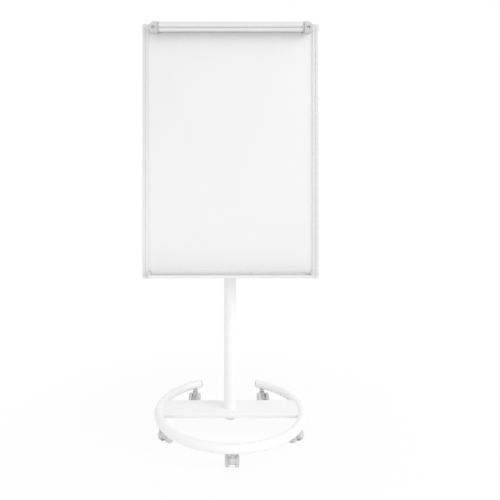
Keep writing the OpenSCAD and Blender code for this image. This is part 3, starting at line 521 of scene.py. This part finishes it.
def pan_head(seat, out, head_r, head_h):
    """A domed screw head on its seat, with a cross recess."""
    out = Vector(out)
    dome = [(head_r * math.cos(t), head_h * (dome_foot + (1 - dome_foot) * math.sin(t)))
            for t in (math.radians(10 * i) for i in range(9))]
    points, faces = turned([(0, 0), (head_r, 0)] + dome + [(0, head_h)], seat, out, 32)
    across = Vector((1, 0, 0))
    up = out.cross(across)
    middle = Vector(seat) + out * head_h
    halves = (head_h * recess_depth, head_r * recess_reach, head_r * recess_half)
    arms = [block(middle, (-out, a, b), halves, recess_taper) for a, b in ((across, up), (up, across))]
    return carved(points, faces, arms)


def button_head(seat, out, head_r, head_h):
    """A low domed bolt head on its seat, with a hexagon socket."""
    out = Vector(out)
    dome = [(head_r * math.cos(t), head_h * math.sin(t))
            for t in (math.radians(8 + 10 * i) for i in range(8))]
    points, faces = turned([(0, 0), (head_r, 0)] + dome + [(0, head_h)], seat, out, 32)
    low, high, socket_r = head_h * socket_floor, head_h * 2, head_r * socket_reach
    socket = turned([(0, low), (socket_r, low), (socket_r, high), (0, high)], seat, out, 6)
    return carved(points, faces, [socket])


def boxes_in(node):
    """The low and the high corner of each separate solid of a node."""
    mesh = frame["nodes"][node].data
    group = list(range(len(mesh.vertices)))

    def root(i):
        while group[i] != i:
            group[i] = group[group[i]]
            i = group[i]
        return i

    at = {}
    for v in mesh.vertices:
        group[v.index] = at.setdefault(tuple(round(c, 6) for c in v.co), v.index)
    for edge in mesh.edges:
        group[root(edge.vertices[0])] = root(edge.vertices[1])
    solids = {}
    for v in mesh.vertices:
        solids.setdefault(root(v.index), []).append(v.co)
    for spots in solids.values():
        low = Vector(min(c[i] for c in spots) for i in range(3))
        high = Vector(max(c[i] for c in spots) for i in range(3))
        yield low, high


def merged(shapes):
    """The points and faces of several shapes as one."""
    points, faces = [], []
    for more, sides in shapes:
        start = len(points)
        points += more
        faces += [tuple(i + start for i in face) for face in sides]
    return points, faces


fasteners = {  # the head of each node's screws, the way it faces, its radius and its height
    "clamp_screws": (pan_head, (0, -1, 0), 0.0040, 0.0026),
    "tray_screws": (pan_head, (0, -1, 0), 0.0034, 0.0019),
    "bracket_bolts": (button_head, (0, 1, 0), 0.0058, 0.0034),
}
for node, (head, out, head_r, head_h) in fasteners.items():
    shapes = []
    for low, high in boxes_in(node):
        middle = (low + high) / 2
        seat = (middle.x, low.y + head_h if out[1] < 0 else high.y - head_h, middle.z)
        shank_r, shank_h = head_r / 2, high.y - low.y - head_h
        shank = [(0, 0), (shank_r, 0), (shank_r, shank_h), (0, shank_h)]
        shapes += [head(seat, out, head_r, head_h), turned(shank, seat, (0, -out[1], 0), 16)]
    points, faces = merged(shapes)
    made = piece(f"{node}_plated", points, faces, zinc, "board", smooth=False)
    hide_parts(node)


# ---- Rivets of the cross rails ----
# Each rail's end tab is held to the frame's rear lip by two domed rivets.

rivet_r = 0.0035
rivet_rise = 0.0016
rivet_inset = 0.0045
rivet_near, rivet_far = 0.010, 0.030
lip_depth = 0.0190
rail_low, rail_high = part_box("cross_rails")
tab_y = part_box("frame_rail_left")[0].y + lip_depth
dome = [(rivet_r * math.cos(t), rivet_rise * math.sin(t))
        for t in (math.radians(15 * i) for i in range(6))]
points, faces = merged(
    turned([(0, 0)] + dome + [(0, rivet_rise)], (x, tab_y, z), (0, 1, 0), 20)
    for x in (rail_low.x + rivet_inset, rail_high.x - rivet_inset)
    for z in (rail_low.z + rivet_near, rail_low.z + rivet_far,
              rail_high.z - rivet_far, rail_high.z - rivet_near))
piece("cross_rail_rivets", points, faces, zinc, "board")


# ---- Column fittings ----
# The foot plug, the collar, the guide bush, the tilt head and the star knobs are dark glass-filled
# nylon with a matt grain. Each star knob has a grey cap over its stud. The knob under the crossbar is
# pale.

dark_moulding = moulded("dark_moulding", 0.085, grain=0.00012, roughness=0.46)
coat(["foot_plug", "clamp_collar", "height_knob", "guide_bush", "tilt_head", "tilt_knob"],
     dark_moulding)
pale_moulding = moulded("pale_moulding", 0.94)
coat(["foot_knob"], pale_moulding)

knob_cap_sunk = 0.0003
knob_cap_r = 0.0070
knob_cap_t = 0.0016
rim_in, rim_down = 0.0006, 0.0004
for name, body, out in (
        ("height_knob", "height_knob_body", Vector((0, 1, 0))),
        ("tilt_knob", "tilt_knob_body", Vector((1, 0, 0)))):
    turn_axis = next(j for j in frame["joints"] if j["name"] == f"{name}_turn")
    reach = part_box(name)[1].dot(out) - knob_cap_sunk
    foot = reach - knob_cap_t
    centre = Vector(turn_axis["pos_m"])
    centre -= centre.dot(out) * out
    points, faces = turned(
        [(0, foot), (knob_cap_r, foot), (knob_cap_r, reach - rim_down), (knob_cap_r - rim_in, reach),
         (0, reach)], centre, out, 32)
    piece(f"{name}_cap", points, faces, mid_grey_moulding, body, smooth=False)


# ---- Board bracket ----
# Three-millimetre steel, pressed and coated grey, with two ears that straddle the tilt head.

grey_powder = powder("grey_powder", 0.36)
coat(["board_bracket"], grey_powder)


# ---- Panel ----
# The writing face is lacquered steel, glossy and almost flat, with the faint grey of old marker wiped
# off. Behind it are a board core and a thin aluminium back.


def enamel(name, level):
    """Glossy lacquer of this grey, barely rippled, duller where marker was wiped off."""
    material, shader, place = finish(name)
    waves = place.noise(scale=220, detail=2)
    wiped = place.noise(scale=5, detail=4, stretch=(1.6, 1, 0.7)).ramp(0.5, 0.8)
    plug(shader, {
        "Base Color": wiped.tint(grey(level), grey(level * 0.985)),
        "Roughness": 0.30 + 0.08 * wiped,
        "Normal": relief(waves, depth=0.00004)})
    return material


def rolled(name, level):
    """Mill-rolled aluminium sheet, its grain along Z."""
    material, shader, place = finish(name)
    grain = place.noise(scale=420, detail=3, stretch=(1, 1, 0.03))
    stain = place.noise(scale=4, detail=3)
    plug(shader, {
        "Base Color": stain.tint(grey(level * 0.95), grey(level * 1.04)),
        "Metallic": 0.85,
        "Roughness": 0.40 + 0.14 * grain,
        "Normal": relief(grain, depth=0.00003)})
    return material


def chipboard(name, level):
    """The raw edge of pressed wood chips."""
    material, shader, place = finish(name)
    chips = place.noise(scale=260, detail=4)
    plug(shader, {
        "Base Color": chips.tint(grey(level * 0.8, 0.2), grey(level, 0.14)),
        "Roughness": 0.85,
        "Normal": relief(chips, depth=0.0002)})
    return material


coat(["writing_sheet"], enamel("lacquered_steel", 0.865))
coat(["panel_core"], chipboard("core_board", 0.4))
coat(["back_sheet"], rolled("back_aluminium", 0.62))


# ---- Frame, tray and clamp in anodised aluminium ----
# Extruded sections, etched and clear anodised to a silky finish. The die leaves faint lines along
# each section's length: along Z on the upright rails and along X on everything else.


def anodised(name, level, stretch):
    """Anodised aluminium of this brightness, its die lines drawn out by the stretch."""
    material, shader, place = finish(name)
    lines = place.noise(scale=1500, detail=3, stretch=stretch)
    drift = place.noise(scale=8, detail=2)
    plug(shader, {
        "Base Color": drift.tint(grey(level * 0.97), grey(level * 1.02)),
        "Metallic": 0.55,
        "Roughness": 0.38 + 0.14 * lines,
        "Normal": relief(lines, depth=0.00003, edge=0.0004)})
    return material


along_x, along_z = (0.01, 1, 1), (1, 1, 0.01)
upright_anodising = anodised("upright_anodising", 0.77, along_z)
level_anodising = anodised("level_anodising", 0.81, along_x)
clamp_anodising = anodised("clamp_anodising", 0.78, along_x)
coat(["frame_rail_left", "frame_rail_right"], upright_anodising)
coat(["frame_rail_top", "frame_rail_bottom", "pen_tray"], level_anodising)
coat(["clamp_jaw", "peg_rail"], clamp_anodising)


# ---- Plastic corners, tray caps and clamp brackets ----
# Injection-moulded ABS: pale on the frame's corners and the tray's caps, and a little darker on the
# brackets that hold the clamp's hinge pins. The pegs are the dark nylon of the knobs.

corner_moulding = moulded("corner_moulding", 0.76)
coat(["frame_corners", "pen_tray_caps"], corner_moulding)
bracket_moulding = moulded("bracket_moulding", 0.64)
coat(["clamp_end_left", "clamp_end_right"], bracket_moulding)
coat(["pad_peg_left", "pad_peg_right"], dark_moulding)


# ---- Grip strip ----
# A soft rubber strip with a slot that pushes over the jaw's flange. It holds the paper against the
# board. The rubber is matt, with a faint bloom.

rubber, rubber_shader, rubber_place = finish("grip_rubber")
bloom = rubber_place.noise(scale=60, detail=4)
plug(rubber_shader, {
    "Base Color": bloom.tint(grey(0.46), grey(0.54)),
    "Roughness": 0.72 + 0.12 * bloom,
    "Normal": relief(bloom, depth=0.0001)})
coat(["grip_strip"], rubber)


corners = {"cad": cad_box, "visual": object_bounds()}
{name: [list(corner) for corner in box] for name, box in corners.items()}
